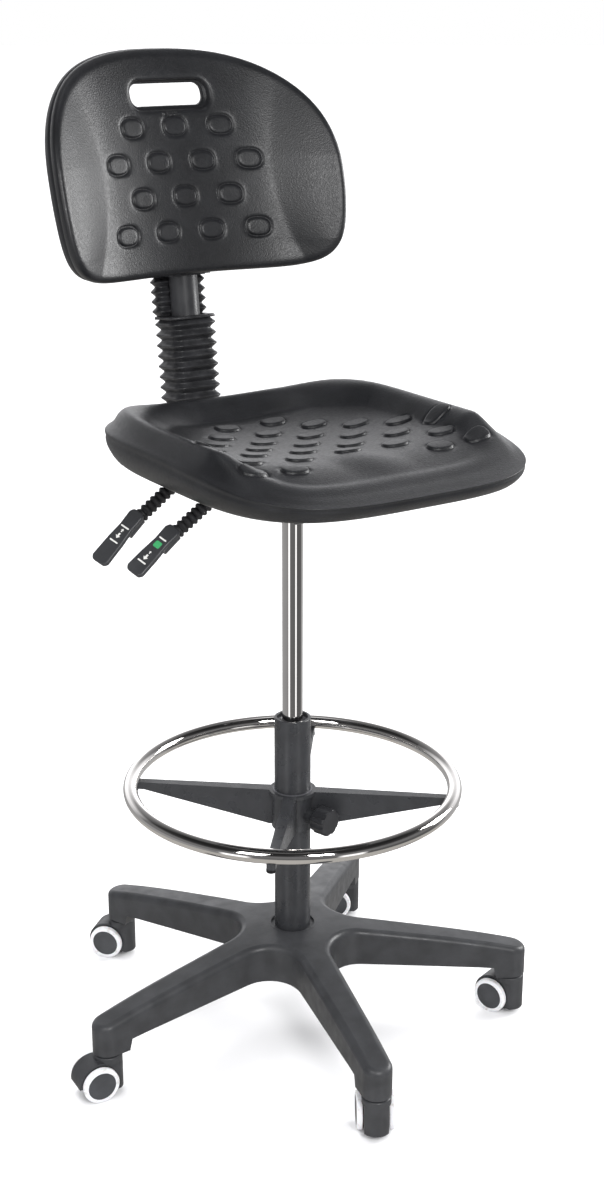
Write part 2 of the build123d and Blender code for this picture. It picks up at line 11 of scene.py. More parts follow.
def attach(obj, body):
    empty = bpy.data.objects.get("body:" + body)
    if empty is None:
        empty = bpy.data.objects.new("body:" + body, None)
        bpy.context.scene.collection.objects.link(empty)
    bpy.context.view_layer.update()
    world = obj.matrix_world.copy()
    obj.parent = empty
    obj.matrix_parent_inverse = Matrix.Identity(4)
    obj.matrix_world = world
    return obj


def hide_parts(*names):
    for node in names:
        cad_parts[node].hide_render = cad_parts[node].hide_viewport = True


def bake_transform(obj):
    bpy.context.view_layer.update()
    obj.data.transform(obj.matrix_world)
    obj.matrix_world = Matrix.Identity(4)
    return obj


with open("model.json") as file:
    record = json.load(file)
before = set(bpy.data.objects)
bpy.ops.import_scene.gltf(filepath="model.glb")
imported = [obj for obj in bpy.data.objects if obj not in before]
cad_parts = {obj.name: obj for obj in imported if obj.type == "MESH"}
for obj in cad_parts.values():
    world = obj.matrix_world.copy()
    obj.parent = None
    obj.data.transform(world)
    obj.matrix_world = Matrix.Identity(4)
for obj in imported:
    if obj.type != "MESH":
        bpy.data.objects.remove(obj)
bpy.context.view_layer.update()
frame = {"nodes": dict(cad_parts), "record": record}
nodes = frame["nodes"]
MM = 0.001

# ---- camera, light and floor ----
AZIMUTH, PITCH = radians(-33.0), 0.3283
DISTANCE, EYE = 2.3024, 1.4133
data = bpy.data.cameras.new("camera")
data.lens, data.sensor_width, data.shift_x = 54.75, 36.0, 0.0079
camera = bpy.data.objects.new("camera", data)
camera.location = (DISTANCE * sin(AZIMUTH), -DISTANCE * cos(AZIMUTH), EYE)
camera.rotation_euler = (pi / 2 - PITCH, 0, AZIMUTH)
bpy.context.scene.collection.objects.link(camera)
bpy.context.scene.camera = camera


def area_light(name, at, aim, size, power):
    """A soft box at one point, aimed at another."""
    light = bpy.data.lights.new(name, "AREA")
    light.shape, light.size, light.size_y = "RECTANGLE", size[0], size[1]
    light.energy = power
    o = bpy.data.objects.new(name, light)
    o.location = at
    o.rotation_euler = (Vector(aim) - Vector(at)).to_track_quat("-Z", "Y").to_euler()
    bpy.context.scene.collection.objects.link(o)


area_light("left_box", (-2.3, -1.3, 2.3), (0, 0, 0.9), (0.9, 1.5), 22)
area_light("right_box", (2.9, -0.55, 1.6), (0, 0.15, 1.15), (1.2, 1.5), 75)
area_light("front_box", (-0.72, -2.9, 2.35), (0, 0.15, 1.15), (0.8, 0.9), 60)

sun = bpy.data.lights.new("overhead", "SUN")
sun.energy, sun.angle = 2.3, radians(70)
lamp = bpy.data.objects.new("overhead", sun)
lamp.rotation_euler = Vector((-0.25, -0.55, -1.0)).to_track_quat("-Z", "Y").to_euler()
lamp.visible_glossy = False
bpy.context.scene.collection.objects.link(lamp)

# The room: a white sweep behind the chair, darker walls with strip lights to the sides and front.
# Only mirror-like reflections see its pattern; the backdrop is plain white and the fill light even.
world = bpy.data.worlds.new("studio")
world.use_nodes = True
tree = world.node_tree


def world_node(kind, **values):
    """A node of the world's tree, with its own properties set."""
    n = tree.nodes.new(kind)
    for key, value in values.items():
        setattr(n, key, value)
    return n


def world_math(operation, *values):
    """A maths node fed with numbers or with other nodes' outputs."""
    n = world_node("ShaderNodeMath", operation=operation)
    for socket, value in zip(n.inputs, values):
        if isinstance(value, (int, float)):
            socket.default_value = value
        else:
            tree.links.new(value, socket)
    return n.outputs["Value"]


def along(direction):
    """How far the looked-at direction points along this one."""
    n = world_node("ShaderNodeVectorMath", operation="DOT_PRODUCT")
    n.inputs[1].default_value = direction
    tree.links.new(coord.outputs["Generated"], n.inputs[0])
    return n.outputs["Value"]


def tones(factor, stops):
    """Grey tones blended between the stops, each (place from 0 to 1, tone)."""
    n = world_node("ShaderNodeValToRGB")
    el = n.color_ramp.elements
    while len(el) < len(stops):
        el.new(0.5)
    for e, (at, tone) in zip(el, stops):
        e.position, e.color = at, (tone, tone, tone * 1.01, 1)
    tree.links.new(factor, n.inputs["Fac"])
    return n.outputs["Color"]


def mix(factor, a, b):
    """Colour b over colour a by the factor; each may be a colour or an output."""
    n = world_node("ShaderNodeMix", data_type="RGBA")
    for socket, value in ((n.inputs["Factor"], factor), (n.inputs["A"], a), (n.inputs["B"], b)):
        if isinstance(value, tuple):
            socket.default_value = value
        else:
            tree.links.new(value, socket)
    return n.outputs["Result"]


def walls(stops):
    """Tones by compass angle in degrees from the front of the room, towards its right."""
    return tones(turn, [((a + 180) / 360, tone) for a, tone in stops])


BACKDROP_TONE, FILL_TONE, FLOOR_TONE = (1, 1, 1, 1), (0.85, 0.85, 0.86, 1), (0.50, 0.485, 0.46, 1)
coord = world_node("ShaderNodeTexCoord")
angle = world_math("ARCTAN2", along((cos(AZIMUTH), sin(AZIMUTH), 0)), along((sin(AZIMUTH), -cos(AZIMUTH), 0)))
turn = world_math("MULTIPLY_ADD", angle, 0.5 / pi, 0.5)
height = along((0, 0, 1))
low = walls([(-180, 0.42), (-60, 0.30), (-48, 0.24), (-44, 1.5), (-30, 1.5), (-26, 0.16), (28, 0.13), (33, 1.4),
             (45, 1.4), (49, 0.10), (104, 0.12), (118, 0.42), (180, 0.55)])
high = walls([(-180, 1.9), (-140, 1.1), (-110, 0.18), (110, 0.18), (140, 1.1), (180, 1.9)])
above = tones(height, [(0.0, 1.0), (0.30, 1.0), (0.50, 0.22), (0.80, 0.08), (0.93, 0.2), (0.97, 0.8)])
room_top = world_node("ShaderNodeMix", data_type="RGBA", blend_type="MULTIPLY")
room_top.inputs["Factor"].default_value = 1.0
tree.links.new(high, room_top.inputs["A"])
tree.links.new(above, room_top.inputs["B"])
low = mix(world_math("MULTIPLY_ADD", height, -6.0, -2.3), low, FLOOR_TONE)
room = mix(world_math("MULTIPLY_ADD", height, 8.0, 0.9), low, room_top.outputs["Result"])
ray = world_node("ShaderNodeLightPath")
seen = mix(ray.outputs["Is Glossy Ray"], FILL_TONE, room)
seen = mix(ray.outputs["Is Camera Ray"], seen, BACKDROP_TONE)
tree.links.new(seen, tree.nodes["Background"].inputs["Color"])
bpy.context.scene.world = world
bpy.context.scene.view_settings.view_transform = "Standard"
bpy.context.scene.view_settings.look = "None"


# ---- materials ----
class Shader:
    """A Principled material whose colour, roughness and bump come from noise in object coordinates."""

    def __init__(self, name, color, rough, metallic=0.0, **sockets):
        self.mat = bpy.data.materials.new(name)
        self.mat.use_nodes = True
        self.tree = self.mat.node_tree
        self.bsdf = self.tree.nodes["Principled BSDF"]
        self.bsdf.inputs["Base Color"].default_value = (*color, 1)
        self.bsdf.inputs["Roughness"].default_value = rough
        self.bsdf.inputs["Metallic"].default_value = metallic
        for key, value in sockets.items():
            self.bsdf.inputs[key.replace("_", " ")].default_value = value
        self.at = self.tree.nodes.new("ShaderNodeTexCoord").outputs["Object"]
        self.last_bump = None

    def node(self, kind, **values):
        n = self.tree.nodes.new(kind)
        for key, value in values.items():
            if key in n.inputs.keys():
                n.inputs[key].default_value = value
            else:
                setattr(n, key, value)
        return n

    def link(self, a, b):
        self.tree.links.new(a, b)

    def noise(self, scale, detail=4.0, stretch=None):
        n = self.node("ShaderNodeTexNoise", Scale=scale, Detail=detail)
        if stretch:
            m = self.node("ShaderNodeMapping", Scale=stretch)
            self.link(self.at, m.inputs["Vector"])
            self.link(m.outputs["Vector"], n.inputs["Vector"])
        else:
            self.link(self.at, n.inputs["Vector"])
        return n.outputs["Fac"]

    def cells(self, scale):
        n = self.node("ShaderNodeTexVoronoi", Scale=scale)
        self.link(self.at, n.inputs["Vector"])
        return n.outputs["Distance"]

    def ramp(self, source, stops):
        n = self.node("ShaderNodeValToRGB")
        el = n.color_ramp.elements
        while len(el) < len(stops):
            el.new(0.5)
        for e, (pos, color) in zip(el, stops):
            e.position, e.color = pos, (*color, 1)
        self.link(source, n.inputs["Fac"])
        return n.outputs["Color"]

    def vary_color(self, source, a, b, lo=0.35, hi=0.65):
        self.link(self.ramp(source, [(lo, a), (hi, b)]), self.bsdf.inputs["Base Color"])

    def vary_rough(self, source, a, b, lo=0.3, hi=0.7):
        n = self.node("ShaderNodeMapRange")
        for key, value in (("From Min", lo), ("From Max", hi), ("To Min", a), ("To Max", b)):
            n.inputs[key].default_value = value
        self.link(source, n.inputs["Value"])
        self.link(n.outputs["Result"], self.bsdf.inputs["Roughness"])

    def bump(self, source, strength, distance):
        n = self.node("ShaderNodeBump", Strength=strength, Distance=distance)
        self.link(source, n.inputs["Height"])
        if self.last_bump is not None:
            self.link(self.last_bump, n.inputs["Normal"])
        self.last_bump = n.outputs["Normal"]
        self.link(self.last_bump, self.bsdf.inputs["Normal"])


def shade(color, k):
    """The colour made k times as bright."""
    return tuple(c * k for c in color)


def plastic(name, color, rough, grain, depth, spread=0.18, **sockets):
    """Moulded plastic or paint: fine grain, cloudy gloss and a little uneven colour."""
    s = Shader(name, color, rough, **sockets)
    s.vary_color(s.noise(38, 6), shade(color, 1 - spread), shade(color, 1 + spread))
    s.vary_rough(s.noise(55, 5), rough - 0.07, rough + 0.09)
    s.bump(s.noise(grain, 3), 0.5, depth)
    s.bump(s.noise(70, 3), 0.25, depth * 2)
    return s


def polyurethane():
    """Self-skinned foam: pebbled mould grain with pores, and soft cloudy sheen."""
    base = (0.0088, 0.0092, 0.0108)
    s = Shader("pu_skin", base, 0.40, Specular_IOR_Level=0.5)
    s.vary_color(s.noise(26, 7), shade(base, 0.86), shade(base, 1.22))
    s.vary_rough(s.noise(260, 6), 0.34, 0.44)
    s.bump(s.cells(520), 0.45, 0.00030)
    s.bump(s.noise(380, 5), 0.40, 0.00040)
    s.bump(s.noise(24, 2), 0.08, 0.0010)
    return s.mat


def nylon():
    """Glass-filled nylon of the base, with faint flow marks."""
    base = (0.034, 0.035, 0.038)
    s = plastic("base_nylon", base, 0.40, 900, 0.00010, 0.16)
    s.bump(s.noise(210, 2, (1, 1, 0.35)), 0.22, 0.0003)
    return s.mat


def rubber(name, color, rough):
    """Matt rubber with paler dusty patches."""
    s = Shader(name, color, rough)
    s.vary_color(s.noise(60, 8), shade(color, 0.8), shade(color, 1.55), 0.4, 0.72)
    s.vary_rough(s.noise(120, 4), rough - 0.1, rough + 0.12)
    s.bump(s.noise(1100, 3), 0.45, 0.00012)
    s.bump(s.noise(160, 3), 0.25, 0.0004)
    return s.mat


def metal(name, color, rough, brush=None, smear=0.03):
    """Plated or bare metal; brush is the (scale, stretch) of its fine marks."""
    s = Shader(name, color, rough, 1.0)
    s.vary_color(s.noise(20, 5), shade(color, 0.97), shade(color, 1.02))
    s.vary_rough(s.noise(45, 8), max(rough - smear, 0.02), rough + smear * 1.6, 0.35, 0.7)
    s.bump(s.noise(brush[0], 2, brush[1]) if brush else s.noise(260, 2), 0.10, 0.00003)
    return s.mat


def tyre():
    """White caster tread, a little soiled."""
    base = (0.72, 0.72, 0.74)
    s = Shader("caster_tread", base, 0.42, Subsurface_Weight=0.06, Subsurface_Scale=0.003)
    s.vary_color(s.noise(130, 9), (0.55, 0.54, 0.52), base, 0.28, 0.46)
    s.vary_rough(s.noise(80, 4), 0.34, 0.55)
    s.bump(s.noise(700, 3), 0.3, 0.0001)
    return s.mat


finishes = {
    "base_nylon": nylon(),
    "caster_tread": tyre(),
    "wheel_grey": plastic("wheel_grey", (0.045, 0.047, 0.052), 0.38, 800, 0.0001).mat,
    "plated_steel": metal("plated_steel", (0.62, 0.62, 0.62), 0.27, (900, (1, 1, 0.05))),
    "black_coat": plastic("black_coat", (0.030, 0.031, 0.034), 0.30, 520, 0.00010, 0.1).mat,
    "bearing_plastic": plastic("bearing_plastic", (0.10, 0.10, 0.11), 0.4, 700, 0.0001).mat,
    "chrome": metal("chrome", (0.83, 0.81, 0.79), 0.055, None, 0.02),
    "pu_skin": polyurethane(),
    "rubber_sleeve": rubber("rubber_sleeve", (0.013, 0.013, 0.0145), 0.50),
    "lever_plastic": plastic("lever_plastic", (0.030, 0.031, 0.034), 0.36, 650, 0.00012, 0.12).mat,
    "rubber_bellows": rubber("rubber_bellows", (0.017, 0.0172, 0.0190), 0.38),
    "black_plastic": plastic("black_plastic", (0.022, 0.0225, 0.0250), 0.34, 700, 0.00012, 0.15).mat,
    "mark_white": plastic("mark_white", (0.62, 0.62, 0.60), 0.45, 700, 0.00005, 0.05).mat,
    "mark_green": plastic("mark_green", (0.03, 0.30, 0.10), 0.45, 700, 0.00005, 0.05).mat,
    "black_screw": metal("black_screw", (0.05, 0.05, 0.052), 0.35, (700, (1, 1, 0.2))),
}
for part in frame["record"]["subparts"]:
    o = nodes[part["node"]]
    o.data.materials.clear()
    o.data.materials.append(finishes[part["material_slot"]])


# ---- mesh helpers ----
def piece(name, verts, faces, slot, body, merge=0.00002, look=None):
    """Mesh object in metres from points in millimetres, smooth shaded, riding on a body."""
    mesh = bpy.data.meshes.new(name)
    mesh.from_pydata([tuple(c * MM for c in v) for v in verts], [], faces)
    bm = bmesh.new()
    bm.from_mesh(mesh)
    bmesh.ops.remove_doubles(bm, verts=bm.verts, dist=merge)
    bmesh.ops.recalc_face_normals(bm, faces=bm.faces)
    bm.to_mesh(mesh)
    bm.free()
    mesh.shade_smooth()
    mesh.materials.append(finishes[look or slot])
    o = bpy.data.objects.new(name, mesh)
    bpy.context.scene.collection.objects.link(o)
    if body:
        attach(o, body)
    return o


def even(points, count):
    """A closed line of points, resampled at equal steps from its first point."""
    p = np.array(points, float)
    p = np.vstack([p, p[:1]])
    s = np.concatenate([[0], np.cumsum(np.hypot(*np.diff(p, axis=0).T))])
    at = np.arange(count) / count * s[-1]
    return np.stack([np.interp(at, s, p[:, 0]), np.interp(at, s, p[:, 1])], 1)


def oval(cx, cy, a, b, power=2.5, count=56):
    """Superellipse about (cx, cy) with half widths a and b."""
    t = np.arange(count) * 2 * pi / count
    c, s = np.cos(t), np.sin(t)
    return np.stack([cx + a * np.sign(c) * abs(c) ** (2 / power), cy + b * np.sign(s) * abs(s) ** (2 / power)], 1)


def slot_line(hx, hy, r, count=96):
    """Rectangle with rounded corners about the origin."""
    pts = []
    for sx, sy, a0 in ((1, 1, 0), (-1, 1, 90), (-1, -1, 180), (1, -1, 270)):
        for k in range(13):
            a = radians(a0 + 90 * k / 12)
            pts.append((sx * (hx - r) + r * cos(a), sy * (hy - r) + r * sin(a)))
    return even(pts, count)


def triangulate(loops, grid, limits, holes=()):
    """Flat triangulation through every loop of points, kept inside loops[0] and outside the holes."""
    pts, edges, start = [], [], 0
    for loop in loops:
        pts += [Vector(p) for p in loop]
        edges += [(start + k, start + (k + 1) % len(loop)) for k in range(len(loop))]
        start += len(loop)
    pts += [Vector(p) for p in grid]
    verts, _, faces, origin, _, _ = delaunay_2d_cdt(pts, edges, [], 0, 1e-5)
    flat = np.array([tuple(v) for v in verts])
    mid = np.array([flat[list(f)].mean(0) for f in faces])
    keep = inside(mid, limits)
    for hole in holes:
        keep &= ~inside(mid, hole)
    return flat, [f for f, k in zip(faces, keep) if k], origin


def inside(p, loop):
    """True for each point p that lies inside the closed loop."""
    p, hit = np.asarray(p, float), np.zeros(len(p), bool)
    a = np.asarray(loop, float)
    b = np.roll(a, -1, axis=0)
    for (x0, y0), (x1, y1) in zip(a, b):
        if y0 == y1:
            continue
        cross = (p[:, 1] > y0) != (p[:, 1] > y1)
        hit ^= cross & (p[:, 0] < (x1 - x0) * (p[:, 1] - y0) / (y1 - y0) + x0)
    return hit


def distance_to(p, loop):
    """Distance from each point p to the loop's nearest point."""
    d = np.full(len(p), 1e9)
    for q in loop:
        d = np.minimum(d, np.hypot(p[:, 0] - q[0], p[:, 1] - q[1]))
    return d


def lattice(outer, step, avoid, gap):
    """Points of a staggered grid inside outer, at least gap from it and outside the avoided loops."""
    lo, hi = outer.min(0), outer.max(0)
    rows = np.arange(lo[1], hi[1], step * 0.87)
    pts = np.array([(x + (k % 2) * step / 2, y) for k, y in enumerate(rows) for x in np.arange(lo[0], hi[0], step)])
    pts = pts[inside(pts, outer)]
    pts = pts[distance_to(pts, outer) > gap]
    for loop in avoid:
        near = np.hypot(*(pts - loop.mean(0)).T) < np.hypot(*(loop - loop.mean(0)).T).max() + gap
        bad = near.copy()
        bad[near] = inside(pts[near], loop) | (distance_to(pts[near], loop) < gap)
        pts = pts[~bad]
    return pts


def skin(outer_loops, features, step, holes=()):
    """Triangulated sheet. Each feature is a list of (loop, lift); holes are lists of (loop, lift), inner edge last.
    Gives the flat points, each point's lift and the faces."""
    loops, lifts = [], []
    for loop, lift in outer_loops:
        loops.append(loop)
        lifts += [lift] * len(loop)
    for shape in list(features) + list(holes):
        for loop, lift in shape:
            loops.append(loop)
            lifts += [lift] * len(loop)
    avoid = [shape[0][0] for shape in list(features) + list(holes)]
    grid = lattice(outer_loops[-1][0], step, avoid, step * 0.45)
    lifts += [0.0] * len(grid)
    flat, faces, origin = triangulate(loops, grid, outer_loops[0][0], [h[-1][0] for h in holes])
    lift = np.array([lifts[o[0]] if o else 0.0 for o in origin])
    return flat, lift, faces


def strip(rings):
    """Quads between successive rings of the same length."""
    n, faces = len(rings[0]), []
    for j in range(len(rings) - 1):
        for k in range(n):
            a, b = j * n + k, j * n + (k + 1) % n
            faces.append((a, b, b + n, a + n))
    return [tuple(p) for ring in rings for p in ring], faces


def join(parts):
    """One list of points and faces from several."""
    verts, faces = [], []
    for v, f in parts:
        faces += [tuple(i + len(verts) for i in face) for face in f]
        verts += [tuple(p) for p in v]
    return verts, faces


def quarter(inset, radius, rise):
    """How far a rounded rim has dropped at this inset from the outline."""
    return rise * (1 - (max(0.0, 1 - (1 - min(inset, radius) / radius) ** 2)) ** 0.5)


# ---- seat ----
SEAT_Y, SEAT_HALF_X, SEAT_HALF_Y, SEAT_BOTTOM, RING = -42.5, 222.5, 249.5, 822.0, 520
SEAT_POWER, LIP = 3.6, 28.0


def seat_outline(inset):
    """The seat seen from above, drawn in by the inset."""
    t = np.arange(24000) * 2 * pi / 24000
    c, s = np.cos(t), np.sin(t)
    x = np.sign(c) * abs(c) ** (2 / SEAT_POWER) * (SEAT_HALF_X - inset)
    y = SEAT_Y + np.sign(s) * abs(s) ** (2 / SEAT_POWER) * (SEAT_HALF_Y - inset)
    return even(np.stack([x, y], 1), RING)


def gap_to(x, y, half_x, half_y, power):
    """Distance in from a superellipse about the origin, negative outside it."""
    x, y = np.maximum(abs(x), 1e-3) / half_x, np.maximum(abs(y), 1e-3) / half_y
    r = (x ** power + y ** power) ** (1 / power)
    slope = r ** (1 - power) * np.hypot(x ** (power - 1) / half_x, y ** (power - 1) / half_y)
    return (1 - r) / slope


def smooth(t):
    """Eased step from 0 to 1."""
    t = np.clip(t, 0, 1)
    return t * t * (3 - 2 * t)


def ridge_height(y):
    """The rounded line where the top turns into the wall, highest halfway along the sides."""
    return 863 - 0.00024 * (y - 10) ** 2


def tray_height(x, y):
    """Dished tray that climbs to the sides and a little to the front, with a pommel between the thighs."""
    u, v = abs(x) / 200, np.clip((y + 50) / 100, -1.7, 1.6)
    z = 850 + 23.7 * u ** 2 - 1.2 * u ** 4 - 9.75 * v + 0.7 * v ** 2 + 7.3 * u ** 2 * v + 2.4 * v ** 3
    return z + 6 * np.clip(1 - (x / 52) ** 2, 0, 1) ** 2 * np.clip(1 - ((y + 175) / 80) ** 2, 0, 1)


def seat_height(x, y):
    """Tray, the rim that rises from a crease behind and beside it, and the slope down to the front lip."""
    v = np.clip((y - SEAT_Y) / (2 * SEAT_HALF_Y) + 0.5, 0, 1)       # 0 front, 1 rear
    to_edge = np.maximum(gap_to(x, y - SEAT_Y, SEAT_HALF_X, SEAT_HALF_Y, SEAT_POWER) - LIP, 0)
    past = np.maximum(-gap_to(x, np.maximum(y + 60, 0), 188, 208, 2.1), np.maximum(36 - to_edge, 0))
    t = past / (past + to_edge + 1e-6)
    behind = np.clip((y - 60) / 120, 0, 1) ** 2
    beside = np.clip((abs(x) - 90) / 100, 0, 1) ** 2
    share = behind / (behind + beside + 1e-9)
    crest = 872.3 + 11.8 * (x / SEAT_HALF_X) ** 2 * share + (19.6 - 23.3 * v + 22.2 * v ** 2) * (1 - share)
    tray = tray_height(x, y)
    z = tray + np.maximum(crest - tray, 0) * np.sin(t * pi / 2) ** 1.15
    ahead = np.maximum(-125 - y, 0)
    fall = smooth(1.65 * ahead / (ahead + to_edge + 95))
    return z + (ridge_height(y) + 1.5 - z) * fall


def lip_unit(inset):
    """Share of the way down from the crest to the ridge: a flared slope that ends in a small round."""
    tight = 1 - np.clip(inset / 3.5, 0, 1)
    return 0.86 * (1 - smooth(inset / LIP)) + 0.14 * (1 - (1 - tight ** 2) ** 0.5)


insets = (0.0, 0.2, 0.6, 1.2, 2.1, 3.5, 5.5, 8.0, 10.5)
ON_LIP = 1000.0                  # marks a lift as a share of the lip's rounding
REAR_ROW, ROW_STEP, COLUMN_STEP, OVAL_X, OVAL_Y = 104.3, 46, 36, 17.5, 13.5
outer = [(seat_outline(d), ON_LIP + lip_unit(d)) for d in insets]
ovals = []
oval_profile = [(3.4, 0.0), (2.7, -0.25), (1.6, -0.75), (0.6, -0.95), (0.1, -0.55), (-0.5, 1.3), (-1.1, 2.15),
                (-2.0, 2.55), (-3.6, 2.7), (-7.0, 2.8), (-11.0, 2.85)]
for row, columns in enumerate(((1,), (0, 2), (1, 3), (0, 2, 4), (1, 3, 5), (0, 2, 4), (3, 5))):
    for k in sorted({side * c for c in columns for side in (-1, 1)}):
        at_x = max(min(COLUMN_STEP * k, 184 - 3 * row), 3 * row - 184)       # the outermost keep off the rim
        at_y = REAR_ROW - ROW_STEP * row
        ovals.append([(oval(at_x, at_y, OVAL_X + d, OVAL_Y + d), lift) for d, lift in oval_profile])
flat, lift, faces = skin(outer, ovals, 5.0)
gap = np.clip(gap_to(flat[:, 0], flat[:, 1] - SEAT_Y, SEAT_HALF_X, SEAT_HALF_Y, SEAT_POWER), 0, LIP)
rounding = np.where(lift >= ON_LIP, lift - ON_LIP, lip_unit(gap))
lift = np.where(lift >= ON_LIP, 0.0, lift)
base = seat_height(flat[:, 0], flat[:, 1])
top = np.column_stack([flat, base + lift - rounding * (base - ridge_height(flat[:, 1]))])
edge = seat_outline(0.0)
edge_z = ridge_height(edge[:, 1])
wall = [(0.0, 0.0), (0.3, 0.06), (0.8, 0.12), (1.0, 0.18), (0.6, 0.24), (0.8, 0.32), (1.8, 0.46),
        (4.2, 0.62), (7.5, 0.79), (11.0, 0.92), (14.0, 0.985), (16.5, 1.0), (24.0, 1.0), (25.0, 0.93), (27.0, 0.93),
        (28.0, 1.0), (60.0, 1.0), (130.0, 1.0)]
rings = []
for inset, down in wall:
    line = seat_outline(inset)
    rings.append(np.column_stack([line, edge_z + (SEAT_BOTTOM - edge_z) * down]))
side = strip(rings)
under = seat_outline(130.0)
flat_u, faces_u, _ = triangulate([under], lattice(under, 25, [], 10), under)
bottom = (np.column_stack([flat_u, np.full(len(flat_u), SEAT_BOTTOM)]), faces_u)
seat = piece("seat_cushion", *join([(top, faces), side, bottom]), "pu_skin", "seat_frame")
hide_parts("seat_pad")

# ---- backrest ----
BACK_Z, THICK, BACK_RING, ROUND = 1030.0, 36.0, 460, 11.0
HOLE_V = 234.0
BACK_HALF, V_MID, N_UP, N_DOWN = 219.0, 129.0, 2.55, 6.6
BACK_ROW, BACK_ROW_STEP, BACK_COLUMN_STEP = 58, 45.3, 68


def back_outline(inset):
    """The backrest seen from the front, drawn in by the inset."""
    t = np.arange(24000) * 2 * pi / 24000
    c, s = np.cos(t), np.sin(t)
    up = s >= 0
    down = np.where(up, 0, abs(s) ** (2 / N_DOWN))
    x = np.where(up, abs(c) ** (2 / N_UP) * (BACK_HALF - inset),
                 abs(c) ** (2 / N_DOWN) * (BACK_HALF - 18 * down ** 2 - inset))
    v = np.where(up, V_MID + abs(s) ** (2 / N_UP) * (293 - V_MID - inset), V_MID - down * (V_MID - inset))
    return even(np.stack([np.sign(c) * x, v], 1), BACK_RING)


def back_face(x, v):
    """Plain rear datum of the pad: leans back towards the top and curves round the sitter."""
    wing = np.clip((abs(x) - 110) / 120, 0, 1)
    return 245 + 0.16 * v + 0.00045 * v * v - 0.00125 * x * x - 8 * wing * wing * (3 - 2 * wing)


def back_relief(x, v):
    """Side bolsters that rise from a bowed crease, and a shallow one along the bottom."""
    crease = 128 + 0.0021 * (v - 135) ** 2
    t = np.clip((abs(x) - crease) / (BACK_HALF - crease), 0, 1)
    rise = np.sin(np.clip(t / 0.62, 0, 1) * pi / 2)
    fade = np.clip((262 - v) / 110, 0, 1) * np.clip((v + 40) / 80, 0, 1)
    low = np.sin(np.clip((34 - v) / 30, 0, 1) * pi / 2)
    return -(7.5 * rise * fade + 1.6 * low * (1 - t))


back_insets = (0.0, 0.2, 0.7, 1.6, 2.8, 4.4, 6.4, 8.6, 11.0, 14.0, 18.0, 24.0)
outer = [(back_outline(d), quarter(d, ROUND, ROUND)) for d in back_insets]
ovals = []
for row in range(4):
    v = BACK_ROW + BACK_ROW_STEP * row
    count = 4 if row % 2 == 0 else 3
    for k in range(count):
        cx = BACK_COLUMN_STEP * (k - (count - 1) / 2)
        profile = [(5.0, 0.0), (2.6, 0.2), (1.2, 0.75), (0.3, 1.7), (-0.5, 2.1), (-1.4, 1.8), (-2.3, 0.7),
                   (-3.2, -0.35), (-4.4, -0.75), (-6.5, -0.9), (-9.0, -0.95)]
        ovals.append([(oval(cx, v, 18.5 + d, 13.5 + d), lift) for d, lift in profile])


def hole_line(grow):
    """The handle hole's outline, larger by grow."""
    return slot_line(56 + grow, 14.5 + grow, 12 + grow) + np.array([0, HOLE_V])


front_hole = [(hole_line(d), e) for d, e in ((12, 0.0), (9.5, 0.25), (7.6, 0.9), (6.0, 2.2), (5.0, 4.0))]
flat, lift, faces = skin(outer, ovals, 5.0, [front_hole])


def back_points(p, lift, front=True):
    """Points on the backrest's front or rear from their place and depth."""
    y = back_face(p[:, 0], p[:, 1]) + lift
    if front:
        y = y + back_relief(p[:, 0], p[:, 1])
    return np.column_stack([p[:, 0], y, BACK_Z + p[:, 1]])


front = (back_points(flat, lift), faces)
rear_outer = [(back_outline(d), THICK - quarter(d, ROUND, ROUND)) for d in back_insets]
rear_hole = [(hole_line(d), e) for d, e in ((15, THICK), (12, THICK - 0.7), (9.8, THICK - 2.2), (8.2, THICK - 5.0))]
flat_r, lift_r, faces_r = skin(rear_outer, [], 9.0, [rear_hole])
lift_r = np.where(lift_r == 0.0, THICK, lift_r)
across, up = abs(flat_r[:, 0]), flat_r[:, 1]
# A recess gives the bar room when the backrest slides down.
lift_r -= 9 * smooth((34 - across) / 9) * smooth((170 - up) / 10) * smooth((up - 60) / 15)
rear = (back_points(flat_r, lift_r, False), faces_r)
line = back_outline(0.0)
bulge = back_relief(line[:, 0], line[:, 1])
rings = []
for depth, inset in ((0, 0), (0.12, 0), (0.34, 0), (0.40, 1.0), (0.46, 1.2), (0.52, 1.0), (0.58, 0),
                     (0.8, 0), (1, 0)):
    p = back_outline(inset)
    e = (ROUND + bulge) * (1 - depth) + (THICK - ROUND) * depth
    rings.append(np.column_stack([p[:, 0], back_face(line[:, 0], line[:, 1]) + e, BACK_Z + p[:, 1]]))
rim = strip(rings)
first = hole_line(5.0)
dip = back_relief(first[:, 0], first[:, 1])
rings = []
for grow, e, own in ((5.0, 4.0, 1), (4.6, 7.5, 0.5), (3.9, 8.6, 0), (1.4, 9.4, 0), (0.4, 10.4, 0), (0.0, 12.5, 0),
                     (0.0, 17.0, 0), (1.0, 19.5, 0), (4.0, 24.0, 0), (8.2, THICK - 5.0, 0)):
    p = hole_line(grow)
    y = back_face(p[:, 0], p[:, 1]) + e + dip * own
    rings.append(np.column_stack([p[:, 0], y, BACK_Z + p[:, 1]]))
hole = strip(rings)
back = piece("back_cushion", *join([front, rear, rim, hole]), "pu_skin", "backrest")
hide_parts("back_pad")

# ---- bellows round the back bar ----
LEAN = radians(7.0)
BAR_N = 14.0          # the flat bar's place behind the column's middle
FOLD_RING = 72
BAR_HOLE_X, BAR_HOLE_Y, SLEEVE_R = 20.6, 4.6, 21.7


def back_frame(z):
    """Place on the leaning column at height z: local Z up the lean, local Y backwards."""
    at = Matrix.Translation((0, 278.8 + tan(LEAN) * (z - 1000.0), z))
    return at @ Matrix.Rotation(-LEAN, 4, "X")


def placed(frame_at, pts):
    """The points moved from a local frame to the chair's."""
    return [tuple(frame_at @ Vector(p)) for p in pts]


